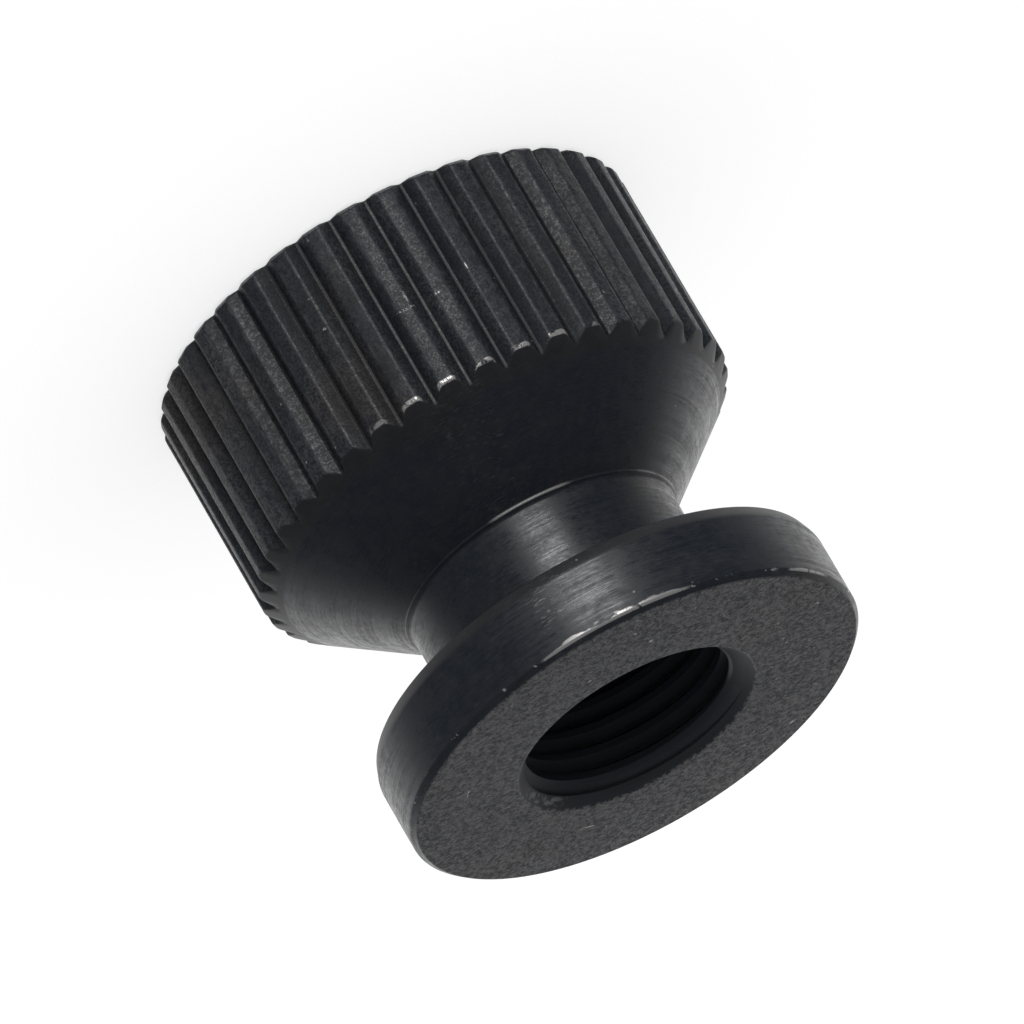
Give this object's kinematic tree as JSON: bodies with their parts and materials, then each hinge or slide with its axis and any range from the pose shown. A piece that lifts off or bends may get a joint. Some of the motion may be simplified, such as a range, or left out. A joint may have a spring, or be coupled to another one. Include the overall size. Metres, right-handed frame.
{
  "type": "adjusting nut",
  "caption": "Turned hand nut with a straight-knurled head, a cone down to a plain neck, a round bearing flange and a fine thread right through.",
  "frame": {"origin": "on the axis, in the outer face of the knurled head, which the nut stands on", "axes": "+Z along the axis from the head to the flange, +X through the middle of a knurl crest"},
  "size_m": [0.021, 0.021, 0.0213],
  "materials": {
    "nut_steel": "black oxide on turned steel: satin on the neck, cone and flange rim, fine matt grain on the bearing face, worn to a brighter grey along the rim and the knurl crests"
  },
  "bodies": {
    "root": {"nut": "nut_steel"}
  },
  "joints": []
}
